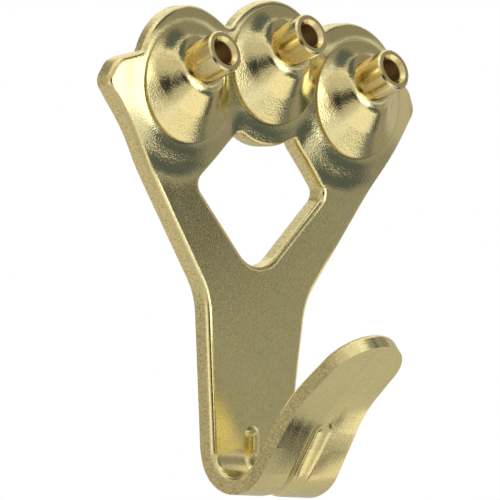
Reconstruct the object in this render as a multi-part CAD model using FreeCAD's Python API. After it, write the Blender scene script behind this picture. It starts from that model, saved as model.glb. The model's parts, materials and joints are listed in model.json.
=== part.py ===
"""Three-nail picture hook: a stamped, brass-plated plate with three leaning nail bushings.

Millimetres. X runs to the right, Z up, and the wall is the plane Y = 0, so the front faces -Y.
The origin lies on the back of the stem, on the plate's line of symmetry.
"""
import FreeCAD, Part
import math
import os

Vector = FreeCAD.Vector

# Sheet
SHEET = 2.1                 # thickness of the stamped sheet
EDGE_ROLL = 0.65            # radius of the punched edges on the front

# Places of the three bosses
BOSS_PITCH = 27.8           # from the left boss to the right one
BOSS_HEIGHT = 30.0          # side bosses above the origin
MIDDLE_RISE = 3.0           # middle boss above the side ones

# Plate outline, seen from the front
LOBE_RADIUS = 8.4           # round lobe about each boss
SIDE_LOBE_LIFT = 0.45       # side lobe's centre above its boss
SIDE_LOBE_INSET = 0.85      # side lobe's centre inboard of its boss
MIDDLE_LOBE_DROP = 0.95     # middle lobe's centre below its boss
LOBE_CORNER = 0.7           # rounding where two lobes, or a lobe and an ear, meet
EAR_REACH = 11.5            # ear corner beyond the side boss
EAR_DROP = 0.6              # ear corner below the side boss
EAR_RADIUS = 1.5
SHOULDER_REACH = 10.1       # upper bend of the ear beyond the side boss
SHOULDER_LIFT = 2.05        # upper bend of the ear above the side boss
SHOULDER_RADIUS = 2.5
NECK_WIDTH = 16.5           # where the two arms run into the stem
NECK_HEIGHT = 6.2
NECK_RADIUS = 8.0
FOOT_WIDTH = 12.4           # strip through the bend
FOOT_RISE = 2.0             # end of the stem's taper above the inside of the bend
FOOT_RADIUS = 12.0

# Window between the arms: a square on its corner, closed at the top by the middle lobe
WINDOW_WIDTH = 21.2
WINDOW_HEIGHT = 18.8        # level of its side corners
WINDOW_SIDE_RADIUS = 1.3
WINDOW_FOOT_RADIUS = 4.0

# Hook strip, in side view
BEND_START = -11.15         # level at which the stem starts to bend
BEND_RADIUS = 3.25          # inside radius
LIP_LEAN = 31.2             # lip from the vertical, degrees
LIP_STRAIGHT = 6.35         # from the bend to the flare
FLARE_RADIUS = 15.7
FLARE_TURN = 18.0           # degrees
LIP_END = 8.5               # from the flare to the tip
LIP_WIDTH = 10.5            # at the round tip

# Stiffening bead pressed through the bend
BEAD_RADIUS = 2.1
BEAD_RISE = 0.5
BEAD_UP_STEM = 1.3
BEAD_UP_LIP = 5.5
BEAD_EDGE = 1.2             # softening where the groove meets the back of the strip

# Dished lobes and the leaning bosses
DISH_RADIUS = 10.8          # where the sheet starts to rise
DISH_RISE = 1.25
DISH_THINNING = 0.85        # sheet lost to drawing where it is fully dished
DISH_STEP = 1.2             # spacing of the dish's control net
DISH_MARGIN = 3.0           # the net beyond the outline
RIM_RADIUS = 6.85           # crisp round rim of the boss
RIM_STEP = 0.4              # its height at the lowest point; it runs out at the top
BOSS_LEAN = 21.0            # nail axis above the horizontal, degrees
LAND_OUT = 6.05             # flat land of the boss, along the nail axis from the wall
LAND_RADIUS = 3.3
LAND_ROUND = 1.8            # rounded brow of the land
FLANK_HOLLOW = 0.4          # how far the flank sags between rim and land
FLANK_ROUND = 5.0           # roundness of that sag
LAND_WALL = 1.7             # sheet left under the land
CAVITY_RADIUS = 5.6         # hollow back of the boss, where it opens to the wall
CAVITY_LAND_RADIUS = 3.0

# Nail bushing, a turned tube riveted into the land
TUBE_RADIUS = 2.48
TUBE_OUT = 3.7              # mouth above the land
TUBE_EDGE = 0.2             # bevel of the outer edge of the mouth
BORE_RADIUS = 1.4
SINK_RADIUS = 1.8           # countersunk mouth
SINK_DEPTH = 0.55
TENON_RADIUS = 2.0
TENON_GAP = 0.05            # between the tenon and its hole
TAIL_RADIUS = 2.75          # headed tail behind the land
TAIL_THICKNESS = 0.55

HALF_PITCH = BOSS_PITCH / 2.0
BOSSES = {
    "left": (-HALF_PITCH, BOSS_HEIGHT),
    "middle": (0.0, BOSS_HEIGHT + MIDDLE_RISE),
    "right": (HALF_PITCH, BOSS_HEIGHT),
}
LOBES = [
    (SIDE_LOBE_INSET - HALF_PITCH, BOSS_HEIGHT + SIDE_LOBE_LIFT),
    (0.0, BOSS_HEIGHT + MIDDLE_RISE - MIDDLE_LOBE_DROP),
    (HALF_PITCH - SIDE_LOBE_INSET, BOSS_HEIGHT + SIDE_LOBE_LIFT),
]
OUTER_BEND = BEND_RADIUS + SHEET
BOTTOM = BEND_START - OUTER_BEND
FRONT_REACH = 60.0
SIDE_REACH = HALF_PITCH + EAR_REACH + DISH_MARGIN
TOP_REACH = BOSS_HEIGHT + MIDDLE_RISE + LOBE_RADIUS + DISH_MARGIN
DISH_FOOT = BOSS_HEIGHT - DISH_RADIUS - 3.0 * DISH_STEP


def rounded_face(corners):
    """Face in the wall plane from corners given as (x, z, radius)."""
    ends = []
    count = len(corners)
    for index, (x, z, radius) in enumerate(corners):
        point = Vector(x, 0, z)
        before = Vector(corners[index - 1][0], 0, corners[index - 1][1]) - point
        after = Vector(corners[(index + 1) % count][0], 0, corners[(index + 1) % count][1]) - point
        before.normalize()
        after.normalize()
        half = before.getAngle(after) / 2.0
        inward = before + after
        inward.normalize()
        run = radius / math.tan(half)
        middle = point + inward * (radius / math.sin(half) - radius)
        ends.append((point + before * run, middle, point + after * run, radius))
    edges = []
    for index, (start, middle, end, radius) in enumerate(ends):
        if radius > 0:
            edges.append(Part.Arc(start, middle, end).toShape())
        following = ends[(index + 1) % count][0]
        if (following - end).Length > 1e-6:
            edges.append(Part.makeLine(end, following))
    return Part.Face(Part.Wire(edges))


def round_wire(radius):
    """Circle about the origin in the wall plane, starting on +X."""
    return Part.Wire(Part.makeCircle(radius, Vector(0, 0, 0), Vector(0, -1, 0)))


def through(face):
    """Post that carries a face of the wall plane through the whole depth of the plate."""
    post = face.extrude(Vector(0, -2.0 * FRONT_REACH, 0))
    post.translate(Vector(0, FRONT_REACH, 0))
    return post


def lobe_post(x, z):
    face = Part.Face(round_wire(LOBE_RADIUS))
    face.translate(Vector(x, 0, z))
    return through(face)


def middle_of(edge):
    return edge.valueAt((edge.FirstParameter + edge.LastParameter) / 2.0)


def is_corner(solid, edge):
    """Whether the two faces at an edge meet at an angle, not smoothly."""
    normals = []
    for face in solid.ancestorsOfType(edge, Part.Face):
        u, v = face.Surface.parameter(middle_of(edge))
        normals.append(face.normalAt(u, v))
    return len(normals) == 2 and normals[0].getAngle(normals[1]) > math.radians(12)


def upright_edges(solid, low):
    """Edges along Y, above a level, at which two walls of the outline meet at a corner."""
    found = []
    for edge in solid.Edges:
        along = edge.Vertexes[-1].Point - edge.Vertexes[0].Point
        upright = along.Length > FRONT_REACH and math.hypot(along.x, along.z) < 1e-6
        if upright and middle_of(edge).z > low and is_corner(solid, edge):
            found.append(edge)
    return found


def outline_post():
    """The plate's outline, with its window, as a post along Y."""
    foot = FOOT_WIDTH / 2.0
    half = [
        (foot, BOTTOM - SHEET, 0.0),
        (foot, BOTTOM + SHEET + FOOT_RISE, FOOT_RADIUS),
        (NECK_WIDTH / 2.0, NECK_HEIGHT, NECK_RADIUS),
        (HALF_PITCH + EAR_REACH, BOSS_HEIGHT - EAR_DROP, EAR_RADIUS),
        (HALF_PITCH + SHOULDER_REACH, BOSS_HEIGHT + SHOULDER_LIFT, SHOULDER_RADIUS),
        (HALF_PITCH + RIM_RADIUS, BOSS_HEIGHT + SHOULDER_LIFT + SIDE_LOBE_LIFT + EAR_DROP, 0.0),
    ]
    corners = half + [(-x, z, radius) for x, z, radius in reversed(half)]
    post = through(rounded_face(corners))
    for x, z in LOBES:
        post = post.fuse(lobe_post(x, z))
    post = post.removeSplitter()
    side = WINDOW_WIDTH / 2.0
    window = through(rounded_face([
        (-side, WINDOW_HEIGHT, WINDOW_SIDE_RADIUS),
        (0.0, WINDOW_HEIGHT - side, WINDOW_FOOT_RADIUS),
        (side, WINDOW_HEIGHT, WINDOW_SIDE_RADIUS),
        (0.0, WINDOW_HEIGHT + side, 0.0),
    ]))
    window = window.cut(lobe_post(*LOBES[1]))
    post = post.cut(window).Solids[0]
    return post.makeFillet(LOBE_CORNER, upright_edges(post, WINDOW_HEIGHT))


def smooth_share(share):
    share = min(1.0, max(0.0, share))
    return share * share * (3.0 - 2.0 * share)


def dish_share(x, z):
    """How far the sheet is dished at a place of the plate: 0 on the arms, 1 at the rims."""
    level = 1.0
    for boss_x, boss_z in BOSSES.values():
        away = math.hypot(x - boss_x, z - boss_z)
        level *= 1.0 - smooth_share((DISH_RADIUS - away) / (DISH_RADIUS - RIM_RADIUS))
    return 1.0 - level


def even_net(low, high):
    """Places of control points, knots and multiplicities for an even cubic net."""
    spans = max(4, int(math.ceil((high - low) / DISH_STEP)))
    knots = [float(index) for index in range(spans + 1)]
    padded = [knots[0]] * 3 + knots + [knots[-1]] * 3
    places = []
    for index in range(spans + 3):
        mean = sum(padded[index + 1:index + 4]) / 3.0
        places.append(low + (high - low) * mean / spans)
    return places, knots, [4] + [1] * (spans - 1) + [4]


def dish_skin(level, rise):
    """A skin of the sheet about the bosses, flat where it runs into the arms."""
    xs, x_knots, x_mults = even_net(-SIDE_REACH, SIDE_REACH)
    zs, z_knots, z_mults = even_net(DISH_FOOT, TOP_REACH)
    net = [[Vector(x, -level - rise * dish_share(x, z), z) for z in zs] for x in xs]
    surface = Part.BSplineSurface()
    surface.buildFromPolesMultsKnots(net, x_mults, z_mults, x_knots, z_knots, False, False, 3, 3)
    return surface.toShape()


def strip_path(offset, extra):
    """Side view of the strip: stem, bend, lip and flare, a distance in from its outer face."""
    lean = math.radians(LIP_LEAN)
    end_lean = math.radians(LIP_LEAN + FLARE_TURN)
    middle_lean = (lean + end_lean) / 2.0
    centre = Vector(0, -OUTER_BEND, BEND_START)
    radius = OUTER_BEND - offset

    def on_bend(turn):
        return centre + Vector(0, radius * math.cos(turn), -radius * math.sin(turn))

    top = Vector(0, -offset, DISH_FOOT)
    bend_in = on_bend(0.0)
    bend_out = on_bend(math.pi - lean)
    flare_in = bend_out + Vector(0, -math.sin(lean), math.cos(lean)) * LIP_STRAIGHT
    flare = FLARE_RADIUS + offset
    flare_centre = flare_in - Vector(0, math.cos(lean), math.sin(lean)) * flare

    def on_flare(turn):
        return flare_centre + Vector(0, math.cos(turn), math.sin(turn)) * flare

    flare_out = on_flare(end_lean)
    tip = flare_out + Vector(0, -math.sin(end_lean), math.cos(end_lean)) * (LIP_END + extra)
    return [
        Part.makeLine(top, bend_in),
        Part.Arc(bend_in, on_bend((math.pi - lean) / 2.0), bend_out).toShape(),
        Part.makeLine(bend_out, flare_in),
        Part.Arc(flare_in, on_flare(middle_lean), flare_out).toShape(),
        Part.makeLine(flare_out, tip),
    ]


def across(shape, width):
    """Carries a side view of the strip across the plate."""
    shape.translate(Vector(-width / 2.0, 0, 0))
    return shape.extrude(Vector(width, 0, 0))


def lip_post():
    """The lip's outline, square to its flared end: a taper that runs into a round tip."""
    turn = LIP_LEAN + FLARE_TURN
    lean = math.radians(turn)
    up_lip = Vector(0, -math.sin(lean), math.cos(lean))
    crown = strip_path(0.0, 0.0)[-1].Vertexes[-1].Point.dot(up_lip)
    waist = strip_path(SHEET, 0.0)[2].Vertexes[0].Point.dot(up_lip)
    foot = FOOT_WIDTH / 2.0
    tip = LIP_WIDTH / 2.0
    drop = waist - (crown - tip)
    spread = math.hypot(foot, drop)
    touch = math.atan2(drop, foot) + math.acos(tip / spread)
    side = Vector(tip * math.cos(touch), 0, crown - tip + tip * math.sin(touch))
    taper = math.atan2(foot - side.x, side.z - waist)
    way = 1.0 if taper > 0 else -1.0
    run = FOOT_RADIUS * math.tan(abs(taper) / 2.0)
    low = Vector(foot, 0, waist - FRONT_REACH)
    knee_in = Vector(foot, 0, waist - run)
    knee = knee_in + Vector(math.cos(taper / 2.0) - 1.0, 0, math.sin(taper / 2.0)) * (way * FOOT_RADIUS)
    knee_out = Vector(foot - run * math.sin(taper), 0, waist + run * math.cos(taper))
    top = Vector(0, 0, crown)
    chain = [low, knee_in, knee, knee_out, side]
    other = [Vector(-point.x, 0, point.z) for point in chain]
    edges = [
        Part.makeLine(chain[0], chain[1]),
        Part.Arc(chain[1], chain[2], chain[3]).toShape(),
        Part.makeLine(chain[3], chain[4]),
        Part.Arc(chain[4], top, other[4]).toShape(),
        Part.makeLine(other[4], other[3]),
        Part.Arc(other[3], other[2], other[1]).toShape(),
        Part.makeLine(other[1], other[0]),
        Part.makeLine(other[0], chain[0]),
    ]
    post = through(Part.Face(Part.Wire(edges)))
    post.rotate(Vector(0, 0, 0), Vector(1, 0, 0), turn)
    return post


def lies_on(edge, skin):
    return Part.Vertex(middle_of(edge)).distToShape(skin)[0] < 1e-4


def front_edges(sheet, skin):
    """Edges between the front skin and the cut walls of the outline."""
    found = []
    for edge in sheet.Edges:
        if not lies_on(edge, skin):
            continue
        faces = sheet.ancestorsOfType(edge, Part.Face)
        if len(faces) == 2 and sum(1 for face in faces if wall_face(face)) == 1:
            found.append(edge)
    return found


def wall_face(face):
    """Walls of the outline stand square to the sheet, so they are posts along one direction."""
    surface = face.Surface
    if isinstance(surface, Part.Plane):
        return abs(surface.Axis.x) > 1e-3
    if isinstance(surface, Part.Cylinder):
        return abs(surface.Axis.x) < 1e-3
    return False


def rolled_sheet():
    """The bare stamped sheet: dished top, arms, stem, bend and lip, with its rolled front edges."""
    dish = dish_skin(SHEET, DISH_RISE)
    hollow = dish_skin(0.0, DISH_RISE + DISH_THINNING).extrude(Vector(0, FRONT_REACH, 0))
    top = dish.extrude(Vector(0, FRONT_REACH / 2.0, 0)).cut(hollow)
    outer = strip_path(0.0, LIP_WIDTH)
    inner = strip_path(SHEET, LIP_WIDTH)
    start = Part.makeLine(outer[0].Vertexes[0].Point, inner[0].Vertexes[0].Point)
    end = Part.makeLine(outer[-1].Vertexes[-1].Point, inner[-1].Vertexes[-1].Point)
    profile = Part.Wire(Part.__sortEdges__(outer + inner + [start, end]))
    strip = across(Part.Face(profile), 2.0 * SIDE_REACH)
    skin = Part.makeCompound([dish, across(Part.Wire(strip_path(SHEET, LIP_WIDTH)), 2.0 * SIDE_REACH)])
    behind = Part.makeBox(
        2.0 * SIDE_REACH, OUTER_BEND + SHEET, TOP_REACH - BOTTOM + SHEET,
        Vector(-SIDE_REACH, -OUTER_BEND, BOTTOM - SHEET))
    stem = strip.common(behind)
    lip = strip.cut(behind)
    outline = outline_post()
    sheet = top.common(outline).fuse([stem.common(outline), lip.common(lip_post())])
    sheet = sheet.removeSplitter().Solids[0]
    return sheet.makeFillet(EDGE_ROLL, front_edges(sheet, skin))


def tilted(shape, out, lean, x, z):
    """Puts a shape of the wall plane on the nail axis, a distance from the wall, and leans it."""
    axis = math.radians(BOSS_LEAN)
    shape.rotate(Vector(0, 0, 0), Vector(1, 0, 0), -lean)
    shape.translate(Vector(x, -out * math.cos(axis), z + out * math.sin(axis)))
    return shape


def boss():
    """Leaning boss at the origin: a rim that runs out at the top, a sagging flank and a tilted, rounded land."""
    level = SHEET + DISH_RISE
    middle = Vector(0, -level - RIM_STEP / 2.0, 0)
    tilt = math.degrees(math.atan2(RIM_STEP, 2.0 * RIM_RADIUS))
    base = Part.Face(round_wire(RIM_RADIUS))
    base.translate(Vector(0, -DISH_RISE - DISH_THINNING, 0))
    drum = base.extrude(Vector(0, -level, 0))
    size = 4.0 * RIM_RADIUS
    lid = Part.makeBox(size, size, size, Vector(-size / 2.0, -size, -size / 2.0))
    lid.rotate(Vector(0, 0, 0), Vector(1, 0, 0), -tilt)
    lid.translate(middle)
    drum = drum.cut(lid).Solids[0]
    rim = max(drum.Faces, key=lambda face: -face.CenterOfMass.y).OuterWire
    land = tilted(round_wire(LAND_RADIUS), LAND_OUT, BOSS_LEAN, 0, 0)
    waist = round_wire((RIM_RADIUS + LAND_RADIUS) / 2.0)
    waist.rotate(Vector(0, 0, 0), Vector(1, 0, 0), -(tilt + BOSS_LEAN) / 2.0)
    waist.translate((middle + land.CenterOfMass) / 2.0 + Vector(0, FLANK_HOLLOW, 0))
    flank = Part.makeLoft([rim, waist, land], True, True)
    brow = max(flank.Edges, key=lambda edge: -edge.CenterOfMass.y)
    flank = flank.makeFillet(LAND_ROUND, [brow])
    rings = [edge for edge in flank.Edges if edge.Closed]
    crease = min(rings, key=lambda edge: abs(edge.CenterOfMass.y - waist.CenterOfMass.y))
    flank = flank.makeFillet(FLANK_ROUND, [crease])
    return drum.fuse(flank)


def boss_hollow(x, z):
    """Conical back of a boss with the hole for the bushing's tenon."""
    seat = LAND_OUT - LAND_WALL
    slope = (CAVITY_RADIUS - CAVITY_LAND_RADIUS) / seat
    cone = Part.makeCone(
        CAVITY_RADIUS + slope * seat, CAVITY_LAND_RADIUS, 2.0 * seat, Vector(0, seat, 0), Vector(0, -1, 0))
    hole = Part.makeCylinder(TENON_RADIUS + TENON_GAP, 2.0 * LAND_WALL, Vector(0, -seat, 0), Vector(0, -1, 0))
    return tilted(cone.fuse(hole), 0.0, BOSS_LEAN, x, z)


def bead_pipe(radius):
    """Round bar along the bend, on a path about the bend's axis, with round ends."""
    lean = math.radians(LIP_LEAN)
    centre = Vector(0, -OUTER_BEND, BEND_START)
    start = centre + Vector(0, radius, 0)
    finish = centre + Vector(0, -radius * math.cos(lean), -radius * math.sin(lean))
    up_lip = Vector(0, -math.sin(lean), math.cos(lean))
    disc = Part.Face(Part.Wire(Part.makeCircle(BEAD_RADIUS, start, Vector(0, 0, 1))))
    curve = disc.revolve(centre, Vector(-1, 0, 0), 180.0 - LIP_LEAN)
    stem_end = start + Vector(0, 0, BEAD_UP_STEM)
    lip_end = finish + up_lip * BEAD_UP_LIP
    pieces = [
        Part.makeCylinder(BEAD_RADIUS, BEAD_UP_STEM, start, Vector(0, 0, 1)),
        Part.makeCylinder(BEAD_RADIUS, BEAD_UP_LIP, finish, up_lip),
        Part.makeSphere(BEAD_RADIUS, stem_end),
        Part.makeSphere(BEAD_RADIUS, lip_end),
    ]
    return curve.fuse(pieces)


def cradle_space():
    """Space inside the hook, between stem and lip."""
    inner = strip_path(SHEET, 0.0)
    close = Part.makeLine(inner[-1].Vertexes[-1].Point, inner[0].Vertexes[0].Point)
    face = Part.Face(Part.Wire(inner + [close]))
    return across(face, 4.0 * BEAD_RADIUS)


def hook_plate():
    plate = rolled_sheet()
    for x, z in BOSSES.values():
        plug = Part.Face(round_wire(RIM_RADIUS))
        plug.translate(Vector(x, 0, z))
        plate = plate.cut(through(plug))
    plate = plate.fuse([boss().translated(Vector(x, 0, z)) for x, z in BOSSES.values()])
    plate = plate.cut([boss_hollow(x, z) for x, z in BOSSES.values()])
    sunk = BEAD_RADIUS - BEAD_RISE
    groove = bead_pipe(OUTER_BEND + sunk)
    plate = plate.cut(groove).Solids[0]
    rims = [edge for edge in plate.Edges if lies_on(edge, groove.Shells[0]) and is_corner(plate, edge)]
    plate = plate.makeFillet(BEAD_EDGE, rims)
    ridge = bead_pipe(BEND_RADIUS + sunk).common(cradle_space())
    return plate.fuse(ridge).removeSplitter()


def nail_bushing(x, z):
    """Turned tube with a countersunk mouth, a shoulder on the land and a headed tail behind it."""
    mouth = LAND_OUT + TUBE_OUT
    back = LAND_OUT - LAND_WALL
    tail = back - TAIL_THICKNESS
    outline = [
        (BORE_RADIUS, tail),
        (TAIL_RADIUS, tail),
        (TAIL_RADIUS, back),
        (TENON_RADIUS, back),
        (TENON_RADIUS, LAND_OUT),
        (TUBE_RADIUS, LAND_OUT),
        (TUBE_RADIUS, mouth - TUBE_EDGE),
        (TUBE_RADIUS - TUBE_EDGE, mouth),
        (SINK_RADIUS, mouth),
        (BORE_RADIUS, mouth - SINK_DEPTH),
        (BORE_RADIUS, tail),
    ]
    section = Part.Face(Part.makePolygon([Vector(radius, -out, 0) for radius, out in outline]))
    bushing = section.revolve(Vector(0, 0, 0), Vector(0, 1, 0), 360.0)
    return tilted(bushing, 0.0, BOSS_LEAN, x, z)


def main():
    os.makedirs("parts", exist_ok=True)
    pieces = {"hook_plate": hook_plate()}
    for name, (x, z) in BOSSES.items():
        pieces["nail_bushing_" + name] = nail_bushing(x, z)
    for name, shape in pieces.items():
        solid = shape.Solids[0]
        print(name, len(shape.Solids), solid.isValid(), round(solid.Volume, 3))
        solid.exportStep("parts/" + name + ".step")


main()
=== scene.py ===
"""Looks of a brass-plated picture hook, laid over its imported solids, with a small studio round it."""

import json
import math

import bpy
from bpy.props import FloatProperty, FloatVectorProperty, PointerProperty
from mathutils import Matrix, Vector


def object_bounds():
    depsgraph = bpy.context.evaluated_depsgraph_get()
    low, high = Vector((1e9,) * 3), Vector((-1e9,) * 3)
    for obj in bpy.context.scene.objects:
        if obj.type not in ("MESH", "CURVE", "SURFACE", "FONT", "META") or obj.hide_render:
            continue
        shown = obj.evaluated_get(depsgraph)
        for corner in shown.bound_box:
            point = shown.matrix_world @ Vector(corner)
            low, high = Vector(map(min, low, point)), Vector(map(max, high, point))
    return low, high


bl_info = {
    "name": "Picture Hook",
    "version": (1, 0, 0),
    "blender": (4, 5, 0),
    "location": "View3D > Sidebar > Picture Hook",
    "description": "Plated finish, turned bushings and a soft studio for a stamped picture hook",
    "category": "Object",
}

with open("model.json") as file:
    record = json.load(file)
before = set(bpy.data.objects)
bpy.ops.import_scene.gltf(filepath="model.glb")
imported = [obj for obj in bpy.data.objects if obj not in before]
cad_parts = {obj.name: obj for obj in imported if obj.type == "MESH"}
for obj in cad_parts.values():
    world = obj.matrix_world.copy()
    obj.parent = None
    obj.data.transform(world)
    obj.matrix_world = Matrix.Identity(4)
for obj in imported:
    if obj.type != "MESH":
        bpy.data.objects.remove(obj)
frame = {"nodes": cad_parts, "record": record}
CAD_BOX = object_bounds()
BORES = {mount["name"]: mount for mount in frame["record"]["mounts"] if mount["kind"] == "bore"}
SIDES = ("left", "middle", "right")
MM = 1000.0                     # millimetres in a metre

# Places on the hook in millimetres. A pair is a span over which a finish changes.
BOSS_DROP = 2.3                 # middle of a boss's rim below the middle of its bore
RIM_RADIUS = 6.85
BOSS_FADE = (RIM_RADIUS - 0.8, RIM_RADIUS)
RIM_LINE = RIM_RADIUS + 0.1     # radius of the dark line of painted shade at the step round a rim
RIM_LINE_FADE = (0.05, 0.2)     # to each side of that line
FRONT_FADE = (-2.9, -2.5)       # depth behind which no such line is drawn
DISH_START = (RIM_RADIUS, 8.0)
DISH_END = (8.8, 13.0)
DISH_BELOW = (1.0, 7.0)         # below the middle of the rim
HOOK_FADE = (-10.5, -8.5)       # level at which the stem gives way to the hook
LIP_FADE = (-8.0, -6.5)         # depth at which the bend gives way to the lip
MARKS_RISE = (-14.0, -9.0)      # levels over which the lip's drawing marks fade in
VALLEY_RISE = (-15.5, -11.0)    # levels over which the lip's valley fades in
VALLEY_END = (-9.0, -4.0)       # and out again
VALLEY_ROUND = 1.0              # roundness of the valley's bottom
VALLEY_WIDTH = 3.2              # from the bottom to about where the valley is level with the lip
TUBE_FADE = (-0.5, 3.0)         # over which painted shade fades from the foot of a tube to its mouth, measured from the middle of the bore
FOOT_WANDER = 1.5               # unevenness of that fade
BORE_FADE = (0.02, 0.1)         # past the radius of the bore, over which its painted shade and roughness fade

# Noise levels between which one finish gives way to another.
CLOUD_SPAN = (0.35, 0.7)
GRAIN_SPAN = (0.4, 0.8)
SPECKLE_SPAN = (0.2, 0.5)
SHEAR_SPAN = (0.46, 0.64)
# Noise levels for the patches of painted shade at the foot of a tube:
FOOT_SHADE_SPAN = (0.5, 0.62)

# Shares of a face's direction: a sheared edge looks sideways, or hardly forward or back.
SIDEWAYS_SPAN = (0.86, 0.96)
FORWARD_SPAN = (0.2, 0.4)

# How far one finish shows over another, and to what share of its brightness a colour is dimmed.
PIT_SHARE = 0.5
PIT_DIM = 0.45
BOSS_PITS = 0.5
# Share and dimming of the painted shade line at the step round each rim:
RIM_SHADE_SHARE = 0.6
RIM_SHADE_DIM = 0.3
TORN_DIM = 0.66
LIP_TORN = 0.09                 # added to the shear noise, so that more of the lip's edge is torn
# Painted shade in patches at the foot of a tube:
FOOT_SHADE_SHARE = 0.6
FOOT_SHADE_DIM = 0.35
HOOK_ROUGH = 0.35

# Swing of the roughness with each noise.
CLOUD_GLOSS = 0.08
SPECKLE_GLOSS = 0.06
WORN_GLOSS = 0.05

# The studio, in metres, its colours, and the picture, in pixels.
PICTURE = 500
SIGHT = Vector((0.0, 0.0, 0.030))  # on the wall face, between the side bosses
SIGHT_PIXEL = (252.97, 91.53)   # where the picture shows that point
SENSOR = 36.0                   # width of the camera's sensor in its own millimetres
CARD_DISTANCE = 0.8             # from the middle of the hook
WALL_DISTANCE = 1.4
FLOOR_REACH = 3.0
WHITE = (1.0, 1.0, 1.0)
PALE = (1.0, 0.99, 0.9)
WARM = (1.0, 0.95, 0.84)
COOL = (0.74, 0.9, 1.0)
FLOOR_GREY = (0.86, 0.86, 0.86)


class Shade:
    """A node socket that takes part in Python expressions."""

    def __init__(self, finish, socket):
        self.finish = finish
        self.socket = socket

    def _math(self, operation, first, second):
        return self.finish.node("ShaderNodeMath", {"operation": operation}, {0: first, 1: second})

    def __add__(self, other):
        return self._math("ADD", self, other)

    __radd__ = __add__

    def __sub__(self, other):
        return self._math("SUBTRACT", self, other)

    def __rsub__(self, other):
        return self._math("SUBTRACT", other, self)

    def __mul__(self, other):
        return self._math("MULTIPLY", self, other)

    __rmul__ = __mul__

    def __pow__(self, other):
        return self._math("POWER", self, other)

    def __abs__(self):
        return self._math("ABSOLUTE", self, 0.0)

    def __or__(self, other):
        """The larger of two shares."""
        return self._math("MAXIMUM", self, other)


class Finish:
    """Node tree of one material or of the world."""

    def __init__(self, owner):
        owner.use_nodes = True
        self.tree = owner.node_tree
        self.tree.nodes.clear()

    def node(self, kind, settings=None, sockets=None, output=0):
        """Adds a node, sets its settings, fills or links its sockets, and returns an output if it has one."""
        made = self.tree.nodes.new(kind)
        for key, value in (settings or {}).items():
            setattr(made, key, value)
        for key, value in (sockets or {}).items():
            if isinstance(value, Shade):
                self.tree.links.new(value.socket, made.inputs[key])
            else:
                made.inputs[key].default_value = value
        return Shade(self, made.outputs[output]) if len(made.outputs) else None

    def vector(self, operation, first, second, output=0):
        return self.node("ShaderNodeVectorMath", {"operation": operation}, {0: first, 1: second}, output)

    def place(self):
        """Coordinates on the object in millimetres."""
        where = self.node("ShaderNodeTexCoord", output="Object")
        return self.node("ShaderNodeVectorMath", {"operation": "SCALE"}, {0: where, "Scale": MM})

    def parts(self, vector):
        """The three numbers of a vector."""
        split = self.node("ShaderNodeSeparateXYZ", {}, {0: vector}).socket.node
        return [Shade(self, socket) for socket in split.outputs]

    def noise(self, place, scale, detail=3.0, roughness=0.5):
        return self.node("ShaderNodeTexNoise", {}, {
            "Vector": place, "Scale": scale, "Detail": detail, "Roughness": roughness})

    def stretched_noise(self, place, scales, detail, roughness):
        """Noise with a scale of its own along each axis."""
        return self.noise(self.vector("MULTIPLY", place, scales), 1.0, detail, roughness)

    def blend(self, share, first, second):
        return self.node("ShaderNodeMix", {"data_type": "RGBA"}, {
            "Factor": share, 6: first, 7: second}, output=2)

    def ramp(self, value, span):
        """Straight share from 0 at the start of a span to 1 at its end, held outside it."""
        return self.node("ShaderNodeMapRange", {"clamp": True}, {
            "Value": value, "From Min": span[0], "From Max": span[1], "To Min": 0.0, "To Max": 1.0})

    def bump(self, height, distance, under=None, strength=1.0):
        """Normal of a relief, laid over the normal under it."""
        sockets = {"Height": height, "Distance": distance, "Strength": strength}
        if under is not None:
            sockets["Normal"] = under
        return self.node("ShaderNodeBump", {}, sockets)

    def metal(self, tint, roughness, normal):
        """Ends the tree in a bare metal."""
        self.surface(self.node("ShaderNodeBsdfPrincipled", {}, {
            "Base Color": tint, "Metallic": 1.0, "Roughness": roughness, "Normal": normal}))

    def surface(self, shader, kind="ShaderNodeOutputMaterial"):
        self.node(kind, {}, {"Surface": shader})


def paint(tint, share=1.0):
    """Opaque colour of a tint, dimmed to a share of itself."""
    return (*[share * part for part in tint], 1.0)


def own_material(piece, name):
    """Puts a fresh material in a piece's slot and returns its finish."""
    material = bpy.data.materials.new(name)
    piece.data.materials.clear()
    piece.data.materials.append(material)
    return Finish(material)


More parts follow.
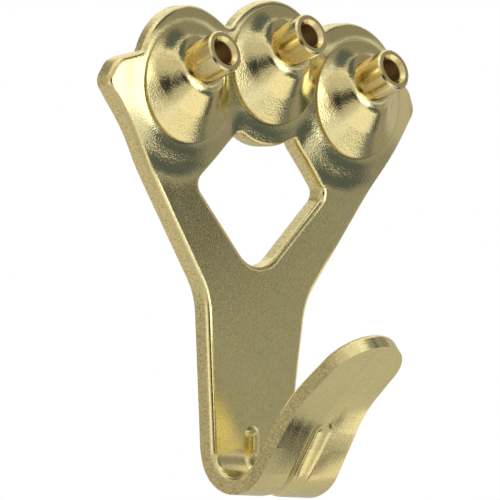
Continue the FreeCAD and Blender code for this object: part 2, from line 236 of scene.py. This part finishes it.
class HookPlateLook(bpy.types.PropertyGroup):
    """Finish of the stamped plate."""
    tint: FloatVectorProperty(
        name="Plating", description="Colour of the brass plating", subtype="COLOR", size=3,
        min=0.0, max=1.0, default=(0.89, 0.78, 0.39))
    tint_worn: FloatVectorProperty(
        name="Thin plating", description="Colour where the plating is thinner", subtype="COLOR", size=3,
        min=0.0, max=1.0, default=(0.84, 0.75, 0.41))
    tint_edge: FloatVectorProperty(
        name="Cut edge", description="Colour of the sheared edge under its plating", subtype="COLOR", size=3,
        min=0.0, max=1.0, default=(0.92, 0.8, 0.42))
    roughness: FloatProperty(
        name="Roughness", description="Gloss of the plated sheet", min=0.02, max=1.0, default=0.13)
    roughness_edge: FloatProperty(
        name="Edge roughness", description="Gloss of the sheared edge", min=0.02, max=1.0, default=0.36)
    # Strength of the painted shade in the dish below each boss.
    painted_shade: FloatProperty(
        name="Dish shade", description="Darkening of the dish below each boss", subtype="FACTOR",
        min=0.0, max=1.0, default=0.2)
    peel: FloatProperty(
        name="Peel", description="Height of the fine waviness of the plating", unit="LENGTH", precision=6,
        min=0.0, max=1e-4, default=1.2e-5)
    grit: FloatProperty(
        name="Grit", description="Height of the pits in the pressed bosses and dishes", unit="LENGTH",
        precision=6, min=0.0, max=1e-4, default=2.2e-5)
    draw: FloatProperty(
        name="Draw", description="Depth of the faint drawing marks beside the bead of the lip", unit="LENGTH",
        precision=6, min=0.0, max=1e-3, default=6e-5)
    crease: FloatProperty(
        name="Crease", description="Rise of the lip's soft valley in each millimetre from its bead",
        unit="LENGTH", precision=6, min=0.0, max=1e-3, default=1.4e-4)
    brush: FloatProperty(
        name="Brush", description="Depth of the fine lines along the hook", unit="LENGTH", precision=6,
        min=0.0, max=1e-4, default=4e-6)


class NailBushingLook(bpy.types.PropertyGroup):
    """Finish of the turned bushings."""
    tint: FloatVectorProperty(
        name="Brass", description="Colour of the turned tubes", subtype="COLOR", size=3,
        min=0.0, max=1.0, default=(0.87, 0.77, 0.43))
    tint_deep: FloatVectorProperty(
        name="Deep brass", description="Colour of the deeper clouds on the tubes", subtype="COLOR", size=3,
        min=0.0, max=1.0, default=(0.8004, 0.6622, 0.3225))
    # Colour of the painted shade where a tube meets its boss.
    tint_foot_shade: FloatVectorProperty(
        name="Foot", description="Colour of the tarnish where a tube meets its boss", subtype="COLOR", size=3,
        min=0.0, max=1.0, default=(0.68, 0.5, 0.2))
    # Darker colour of the bore: painted shade in its recess.
    tint_bore_shade: FloatVectorProperty(
        name="Bore", description="Colour of the dull bore", subtype="COLOR", size=3,
        min=0.0, max=1.0, default=(0.46, 0.33, 0.15))
    roughness: FloatProperty(
        name="Roughness", description="Gloss of the turned tubes", min=0.02, max=1.0, default=0.14)
    roughness_bore: FloatProperty(
        name="Bore roughness", description="Gloss of the dull bore", min=0.02, max=1.0, default=0.5)
    wear: FloatProperty(
        name="Wear", description="Height of the worn unevenness of the tubes", unit="LENGTH", precision=6,
        min=0.0, max=1e-4, default=5e-6)
    ring_depth: FloatProperty(
        name="Turning depth", description="Depth of the fine turning marks", unit="LENGTH", precision=6,
        min=0.0, max=1e-4, default=3e-6)
    ring_pitch: FloatProperty(
        name="Turning pitch", description="Spacing of the fine turning marks", unit="LENGTH", precision=6,
        min=2e-5, max=1e-3, default=1.6e-4)


class HookStage(bpy.types.PropertyGroup):
    """Camera, floor and light."""
    azimuth: FloatProperty(
        name="Azimuth", description="Camera round the hook", subtype="ANGLE", default=math.radians(-45.5225))
    elevation: FloatProperty(
        name="Elevation", description="Camera above the hook", subtype="ANGLE", default=math.radians(-3.4783))
    roll: FloatProperty(
        name="Roll", description="Turn of the picture", subtype="ANGLE", default=math.radians(2.2542))
    distance: FloatProperty(
        name="Distance", description="Camera from the side bosses' level", unit="LENGTH", default=0.78395)
    scale: FloatProperty(
        name="Scale", description="Pixels in a millimetre at that distance", default=8.68)
    floor_drop: FloatProperty(
        name="Floor", description="Floor below the bend", unit="LENGTH", min=0.0, default=0.03)
    fill: FloatProperty(
        name="Fill", description="Strength of the surrounding light", min=0.0, default=0.8)


class OBJECT_OT_hook_plate(bpy.types.Operator):
    """Dress the stamped plate in bright brass plating, duller on its sheared edge"""
    bl_idname = "object.hook_plate_finish"
    bl_label = "Plate finish"

    def execute(self, context):
        look = context.scene.hook_plate_look
        finish = own_material(frame["nodes"]["hook_plate"], "brass plating")
        place = finish.place()
        edge, hook, lip = self.zones(finish, place)
        boss, line, dish = self.rings(finish, place)
        cloud = finish.noise(place, 0.16, detail=2.0)
        speckle = finish.noise(place, 3.2, roughness=0.6)
        shear = finish.stretched_noise(place, (4.6, 2.4, 4.6), detail=3.0, roughness=0.65)
        plating = self.plating(finish, place, look, cloud)
        # Painted shade: the dish below each boss is darkened in speckles.
        shaded = paint(look.tint_worn, 1.0 - look.painted_shade)
        plating = finish.blend(dish * finish.ramp(speckle, SPECKLE_SPAN), plating, shaded)
        # Painted shade: a dark line at the step round each rim.
        plating = finish.blend(RIM_SHADE_SHARE * line, plating, paint(look.tint, RIM_SHADE_DIM))
        torn = finish.ramp(shear + LIP_TORN * lip, SHEAR_SPAN)
        bare = finish.blend(torn, paint(look.tint_edge), paint(look.tint_edge, TORN_DIM))
        gloss = look.roughness + CLOUD_GLOSS * (cloud - 0.5) + SPECKLE_GLOSS * (speckle - 0.5)
        rough = gloss + (edge | (HOOK_ROUGH * hook)) * (look.roughness_edge - look.roughness)
        normal = self.relief(finish, place, look, hook, lip, dish | (BOSS_PITS * boss))
        normal = finish.bump(edge * shear, 2.0 * look.peel, normal, strength=0.6)
        finish.metal(finish.blend(edge, plating, bare), rough, normal)
        return {"FINISHED"}

    @staticmethod
    def plating(finish, place, look, cloud):
        """Colour of the plated faces, thinner in clouds and dimmed by fine pits."""
        even = finish.blend(finish.ramp(cloud, CLOUD_SPAN), paint(look.tint), paint(look.tint_worn))
        grain = finish.noise(place, 4.0, roughness=0.75)
        pitted = PIT_SHARE * finish.ramp(grain, GRAIN_SPAN)
        return finish.blend(pitted, even, paint(look.tint_worn, PIT_DIM))

    @staticmethod
    def relief(finish, place, look, hook, lip, pressed):
        """Normal of the plated faces: waviness, pits, lines along the hook and the pressing of the lip."""
        across, _, height = finish.parts(place)
        waves = finish.noise(place, 4.2, detail=2.0, roughness=0.6)
        pits = pressed * finish.noise(place, 5.0, detail=1.0)
        lines = hook * finish.stretched_noise(place, (5.0, 0.12, 0.12), detail=2.0, roughness=0.6)
        strokes = finish.stretched_noise(place, (0.42, 0.05, 0.05), detail=2.0, roughness=0.5)
        marks = strokes * finish.ramp(height, MARKS_RISE) * lip
        low_lip = lip * finish.ramp(height, VALLEY_RISE) * (1.0 - finish.ramp(height, VALLEY_END))
        valley = low_lip * ((across * across + VALLEY_ROUND ** 2) ** 0.5 - VALLEY_WIDTH)
        normal = finish.bump(waves, look.peel)
        normal = finish.bump(pits, look.grit, normal)
        normal = finish.bump(lines, look.brush, normal, strength=0.6)
        normal = finish.bump(marks, look.draw, normal)
        return finish.bump(valley, look.crease, normal)

    @staticmethod
    def rings(finish, place):
        """Shares of the bosses, of the dark line of painted shade round each rim in front and of the dish
        below it, where shade is painted.
        """
        across, out, height = finish.parts(place)
        boss = 0.0
        line = 0.0
        dish = 0.0
        for bore in BORES.values():
            away = across - MM * bore["pos_m"][0]
            below = MM * bore["pos_m"][2] - BOSS_DROP - height
            reach = (away * away + below * below) ** 0.5
            ring = finish.ramp(reach, DISH_START) * (1.0 - finish.ramp(reach, DISH_END))
            boss = (1.0 - finish.ramp(reach, BOSS_FADE)) | boss
            line = (1.0 - finish.ramp(abs(reach - RIM_LINE), RIM_LINE_FADE)) | line
            dish = (ring * finish.ramp(below, DISH_BELOW)) | dish
        return boss, line * (1.0 - finish.ramp(out, FRONT_FADE)), dish

    @staticmethod
    def zones(finish, place):
        """Shares of the sheared edge, of the hook below the stem and of the hook's lip."""
        sideways, forward, _ = finish.parts(finish.node("ShaderNodeNewGeometry", output="Normal"))
        _, out, height = finish.parts(place)
        hook = 1.0 - finish.ramp(height, HOOK_FADE)
        lip = 1.0 - finish.ramp(out, LIP_FADE)
        across_sheet = 1.0 - finish.ramp(abs(forward), FORWARD_SPAN)
        edge = finish.ramp(abs(sideways), SIDEWAYS_SPAN) | (across_sheet * (1.0 - hook))
        return edge, hook, lip


class OBJECT_OT_nail_bushings(bpy.types.Operator):
    """Dress the three bushings as turned brass tubes with a rougher bore that is painted darker as shade"""
    bl_idname = "object.nail_bushing_finish"
    bl_label = "Bushing finish"

    def execute(self, context):
        look = context.scene.nail_bushing_look
        for side in SIDES:
            self.dress(look, frame["nodes"]["nail_bushing_" + side], BORES["nail_bore_" + side])
        return {"FINISHED"}

    @staticmethod
    def dress(look, bushing, bore):
        """Turned brass with painted shade towards the foot of its tube: browner there, with darker patches.
        """
        finish = own_material(bushing, bushing.name.replace("_", " ") + " brass")
        place = finish.place()
        axis = tuple(bore["axis"])
        away = finish.vector("SUBTRACT", place, tuple(MM * part for part in bore["pos_m"]))
        along = finish.vector("DOT_PRODUCT", away, axis, output=1)
        beside = finish.vector("CROSS_PRODUCT", away, axis)
        radius = finish.node("ShaderNodeVectorMath", {"operation": "LENGTH"}, {0: beside}, output=1)
        inside = 1.0 - finish.ramp(radius, [bore["dims"]["r_mm"] + past for past in BORE_FADE])
        turn = 2.0 * math.pi / (MM * look.ring_pitch)
        marks = finish.node("ShaderNodeMath", {"operation": "SINE"}, {0: along * turn})
        cloud = finish.noise(place, 0.5, detail=2.0)
        worn = finish.noise(place, 2.4, roughness=0.6)
        # Painted shade: browner towards the foot of each tube, darker still in patches.
        foot = 1.0 - finish.ramp(along + FOOT_WANDER * (worn - 0.5), TUBE_FADE)
        foot_shade_patches = FOOT_SHADE_SHARE * foot * finish.ramp(worn, FOOT_SHADE_SPAN)
        tint = finish.blend(finish.ramp(cloud, CLOUD_SPAN), paint(look.tint), paint(look.tint_deep))
        tint = finish.blend(foot, tint, paint(look.tint_foot_shade))
        tint = finish.blend(foot_shade_patches, tint, paint(look.tint_foot_shade, FOOT_SHADE_DIM))
        # Painted shade: the bore is darker, and it is rougher as well.
        tint = finish.blend(inside, tint, paint(look.tint_bore_shade))
        gloss = look.roughness + CLOUD_GLOSS * (cloud - 0.5) + WORN_GLOSS * (worn - 0.5)
        rough = gloss + inside * (look.roughness_bore - look.roughness)
        normal = finish.bump(worn, look.wear, strength=0.5)
        normal = finish.bump(marks, look.ring_depth, normal, strength=0.4)
        finish.metal(tint, rough, normal)


def toward(azimuth, elevation):
    """Direction from the hook at two angles in radians, with the front at azimuth 0."""
    level = math.cos(elevation)
    return Vector((math.sin(azimuth) * level, -math.cos(azimuth) * level, math.sin(elevation)))


def stage_sheet(name, place, half_width, half_height):
    """A flat piece of the stage and the finish of its fresh material."""
    corners = [(-half_width, -half_height, 0.0), (half_width, -half_height, 0.0),
               (half_width, half_height, 0.0), (-half_width, half_height, 0.0)]
    mesh = bpy.data.meshes.new(name)
    mesh.from_pydata(corners, [], [(0, 1, 2, 3)])
    sheet = bpy.data.objects.new(name, mesh)
    bpy.context.scene.collection.objects.link(sheet)
    sheet.matrix_world = place
    return sheet, own_material(sheet, name)


def panel(name, place, half_width, half_height, strength, tint, soft):
    """A soft-edged glowing panel that only the metal's reflections see."""
    sheet, finish = stage_sheet(name, place, half_width, half_height)
    sheet.visible_camera = False
    sheet.visible_diffuse = False
    sheet.visible_shadow = False
    sheet.visible_transmission = False
    across, up, _ = finish.parts(finish.node("ShaderNodeTexCoord", output="Object"))
    past_side = finish.ramp(abs(across), (half_width * (1.0 - soft), half_width))
    past_end = finish.ramp(abs(up), (half_height * (1.0 - soft), half_height))
    share = (1.0 - past_side) * (1.0 - past_end)
    lit = finish.node("ShaderNodeEmission", {}, {"Color": paint(tint), "Strength": strength})
    clear = finish.node("ShaderNodeBsdfTransparent")
    finish.surface(finish.node("ShaderNodeMixShader", {}, {"Fac": share, 1: clear, 2: lit}))


def card(name, at, size, strength, tint=WHITE, soft=0.4, away=CARD_DISTANCE):
    """A panel that faces the hook. Its place and its size are pairs of degrees, seen from the hook."""
    azimuth, elevation = [math.radians(angle) for angle in at]
    half_width, half_height = [away * math.tan(math.radians(angle) / 2.0) for angle in size]
    out = toward(azimuth, elevation)
    middle = (CAD_BOX[0] + CAD_BOX[1]) / 2.0
    place = Matrix.Translation(middle + out * away) @ out.to_track_quat("Z", "Y").to_matrix().to_4x4()
    panel(name, place, half_width, half_height, strength, tint, soft)


class OBJECT_OT_hook_stage(bpy.types.Operator):
    """Set up the camera, the pale floor and the soft studio light"""
    bl_idname = "object.hook_stage"
    bl_label = "Stage"

    def execute(self, context):
        look = context.scene.hook_stage
        self.camera(context, look)
        self.floor(look)
        self.world(context, look)
        self.walls()
        self.cards()
        self.bend_light()
        return {"FINISHED"}

    @staticmethod
    def camera(context, look):
        """Camera that sees the hook as the picture does, with its axis through the picture's middle."""
        back = toward(look.azimuth, look.elevation)
        side = Vector((math.cos(look.azimuth), math.sin(look.azimuth), 0.0))
        up = back.cross(side)
        right = side * math.cos(look.roll) + up * math.sin(look.roll)
        over = up * math.cos(look.roll) - side * math.sin(look.roll)
        focal = look.scale * look.distance * MM
        aside = PICTURE / 2 - SIGHT_PIXEL[0]
        drop = PICTURE / 2 - SIGHT_PIXEL[1]
        ahead = (right * aside - over * drop - back * focal).normalized()
        over = (over - ahead * over.dot(ahead)).normalized()
        right = ahead.cross(over)
        data = bpy.data.cameras.new("camera")
        data.sensor_width = SENSOR
        data.lens = focal * SENSOR / PICTURE
        data.clip_start = 0.01
        data.clip_end = 100.0
        camera = bpy.data.objects.new("camera", data)
        context.scene.collection.objects.link(camera)
        turn = Matrix((right, over, -ahead)).transposed().to_4x4()
        camera.matrix_world = Matrix.Translation(SIGHT + back * look.distance) @ turn
        context.scene.camera = camera

    @staticmethod
    def floor(look):
        """Pale floor that takes the shadow and stays out of the metal's reflections."""
        place = Matrix.Translation((0.0, 0.0, CAD_BOX[0].z - look.floor_drop))
        sheet, finish = stage_sheet("floor", place, FLOOR_REACH, FLOOR_REACH)
        sheet.visible_glossy = False
        finish.surface(finish.node("ShaderNodeBsdfDiffuse", {}, {"Color": paint(FLOOR_GREY)}))

    @staticmethod
    def world(context, look):
        """White to the camera and in reflections, and a softer light on everything else."""
        world = bpy.data.worlds.new("studio")
        context.scene.world = world
        finish = Finish(world)
        seen = finish.node("ShaderNodeLightPath", output="Is Camera Ray")
        glossy = finish.node("ShaderNodeLightPath", output="Is Glossy Ray")
        through = finish.node("ShaderNodeLightPath", output="Is Transmission Ray")
        white = finish.node("ShaderNodeBackground", {}, {"Color": paint(WHITE), "Strength": 1.0})
        soft = finish.node("ShaderNodeBackground", {}, {"Color": paint(WHITE), "Strength": look.fill})
        both = finish.node("ShaderNodeMixShader", {}, {"Fac": seen | glossy | through, 1: soft, 2: white})
        finish.surface(both, "ShaderNodeOutputWorld")

    @staticmethod
    def walls():
        """The far room that the metal mirrors."""
        for name, at, size, strength in (
                ("left wall", (-62, 0), (132, 100), 0.68),
                ("right wall", (105, 0), (90, 100), 0.54),
                ("back wall", (185, 0), (90, 100), 0.66),
                ("ceiling", (0, 88), (110, 110), 0.94),
                ("table", (0, -88), (120, 120), 0.62)):
            card(name, at, size, strength, WARM, soft=0.3, away=WALL_DISTANCE)

    @staticmethod
    def cards():
        """Softboxes and dark flags nearer the hook."""
        card("front softbox", (14, 1), (36, 32), 2.2, soft=0.3)
        card("right flag", (54, -2), (38, 40), 0.36, PALE)
        card("low dark flag", (45, -18), (48, 28), 0.16, COOL, soft=0.2)
        card("low right flag", (88, -18), (44, 30), 0.34, WARM)
        card("upper flag", (56, 38), (88, 46), 0.30, WARM)
        card("upper dark flag", (22, 55), (56, 32), 0.15, COOL)
        card("front table", (28, -44), (72, 30), 1.1, WARM)
        card("left flag", (-132, -4), (36, 60), 0.38, WARM)
        card("window flag", (-160, 36), (50, 36), 0.15, WARM, away=0.7)
        card("left softbox", (-80, -14), (36, 16), 1.2, away=0.2)
        card("back light", (148, 45), (70, 44), 1.1)
        card("upper right light", (108, 38), (30, 26), 0.66, WARM)
        card("top light", (-70, 76), (44, 26), 1.2)
        card("dark camera", (-25, -2), (44, 40), 0.04, COOL, soft=0.65)
        card("near flag", (42.5, 5.7), (10, 13), 0.02, COOL, soft=0.5, away=0.232)
        card("lip flag", (79, -28), (18, 16), 0.06, COOL, soft=0.5)
        card("near low flag", (56.4, -66.8), (11, 20), 0.02, COOL, soft=0.7, away=0.0462)

    @staticmethod
    def bend_light():
        """A small upright panel beside the hook, out of the way of what the stem mirrors."""
        beside = Matrix.Translation((0.020, -0.0035, 0.004))
        upright = Matrix.Rotation(math.pi / 2.0, 4, "Y")
        panel("bend light", beside @ upright, half_width=0.008, half_height=0.0065,
              strength=0.9, tint=WARM, soft=0.3)


class VIEW3D_PT_picture_hook(bpy.types.Panel):
    """Steps and settings of the picture hook"""
    bl_idname = "VIEW3D_PT_picture_hook"
    bl_label = "Picture Hook"
    bl_space_type = "VIEW_3D"
    bl_region_type = "UI"
    bl_category = "Picture Hook"

    def draw(self, context):
        layout = self.layout
        for look, step in ((context.scene.hook_plate_look, OBJECT_OT_hook_plate),
                           (context.scene.nail_bushing_look, OBJECT_OT_nail_bushings),
                           (context.scene.hook_stage, OBJECT_OT_hook_stage)):
            column = layout.column(align=True)
            for key in look.__annotations__:
                column.prop(look, key)
            column.operator(step.bl_idname)


CLASSES = (HookPlateLook, NailBushingLook, HookStage, OBJECT_OT_hook_plate, OBJECT_OT_nail_bushings,
           OBJECT_OT_hook_stage, VIEW3D_PT_picture_hook)


def register():
    for item in CLASSES:
        bpy.utils.register_class(item)
    bpy.types.Scene.hook_plate_look = PointerProperty(type=HookPlateLook)
    bpy.types.Scene.nail_bushing_look = PointerProperty(type=NailBushingLook)
    bpy.types.Scene.hook_stage = PointerProperty(type=HookStage)


def unregister():
    del bpy.types.Scene.hook_stage
    del bpy.types.Scene.nail_bushing_look
    del bpy.types.Scene.hook_plate_look
    for item in reversed(CLASSES):
        bpy.utils.unregister_class(item)


def main():
    register()
    bpy.context.scene.view_settings.view_transform = "Standard"
    bpy.ops.object.hook_plate_finish()
    bpy.ops.object.nail_bushing_finish()
    bpy.ops.object.hook_stage()


if __name__ == "__main__":
    main()
